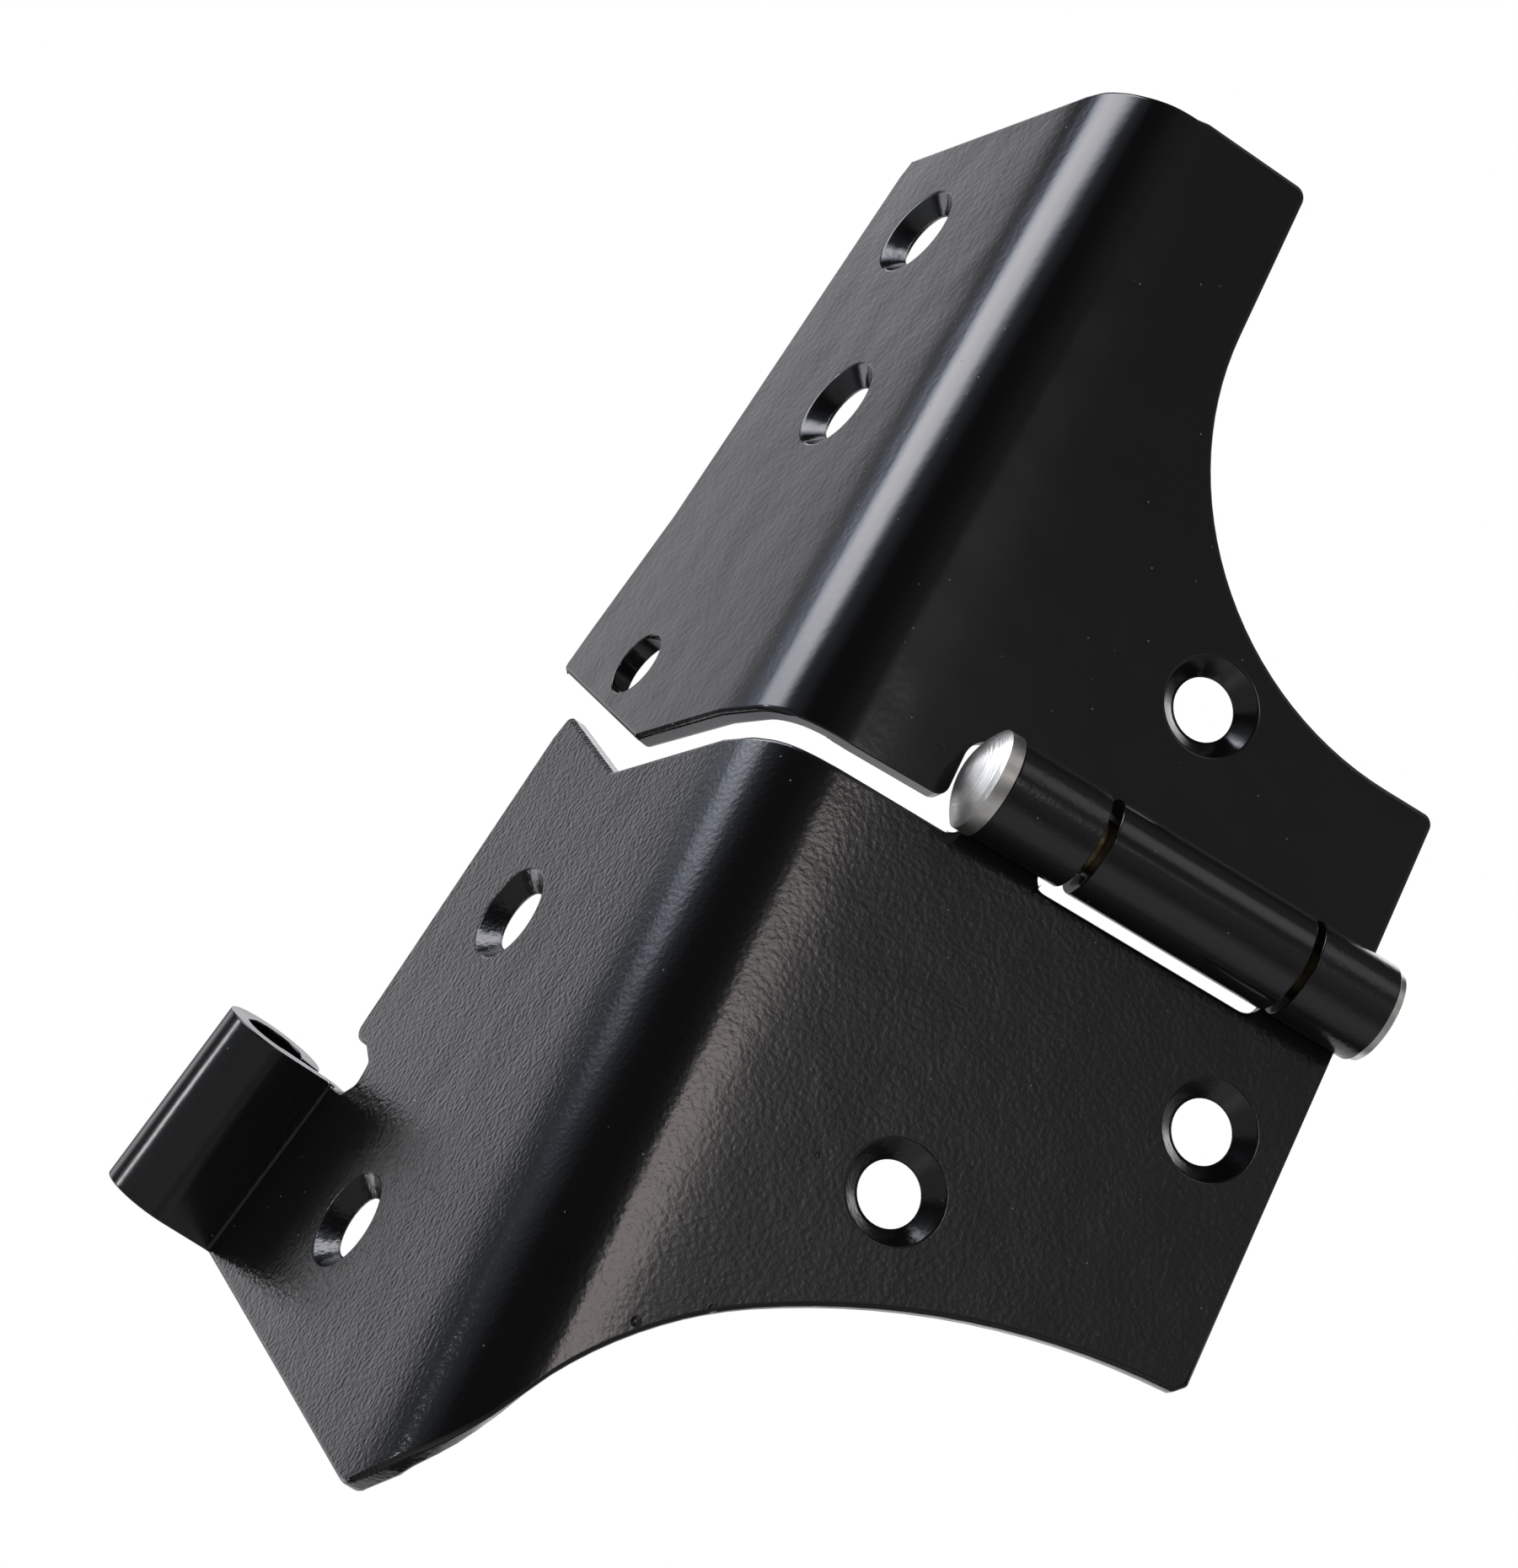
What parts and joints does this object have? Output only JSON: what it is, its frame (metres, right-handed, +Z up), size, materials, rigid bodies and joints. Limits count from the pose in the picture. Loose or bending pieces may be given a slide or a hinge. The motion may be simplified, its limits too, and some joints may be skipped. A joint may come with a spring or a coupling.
{
  "type": "windshield hinge",
  "caption": "Folded steel vehicle windshield hinge: angled leaves on a riveted pin, countersunk screw holes and a rolled eye for the door below.",
  "frame": {"origin": "axis of the lower leaf's screw hole under the right end of the barrel, on the flat back of the front flange where it seats on the vehicle", "axes": "+Z up along the front flanges, +X along the hinge pin towards its peened end, +Y into the vehicle body, normal to the front flanges' backs"},
  "size_m": [0.1242, 0.1062, 0.2132],
  "materials": {
    "leaf_coating": "semi-gloss black powder coat with light orange peel over steel sheet",
    "pin_plating": "bright zinc plate, turned and riveted ends"
  },
  "bodies": {
    "lower_leaf": {"lower_leaf": "leaf_coating", "hinge_pin": "pin_plating"},
    "upper_leaf": {"upper_leaf": "leaf_coating"}
  },
  "joints": [
    {"name": "windshield_fold", "type": "hinge", "parent": "lower_leaf", "child": "upper_leaf", "pos_m": [-0.018, -0.007, 0.0237], "axis": [1, 0, 0], "range_deg": [-2, 180]}
  ]
}
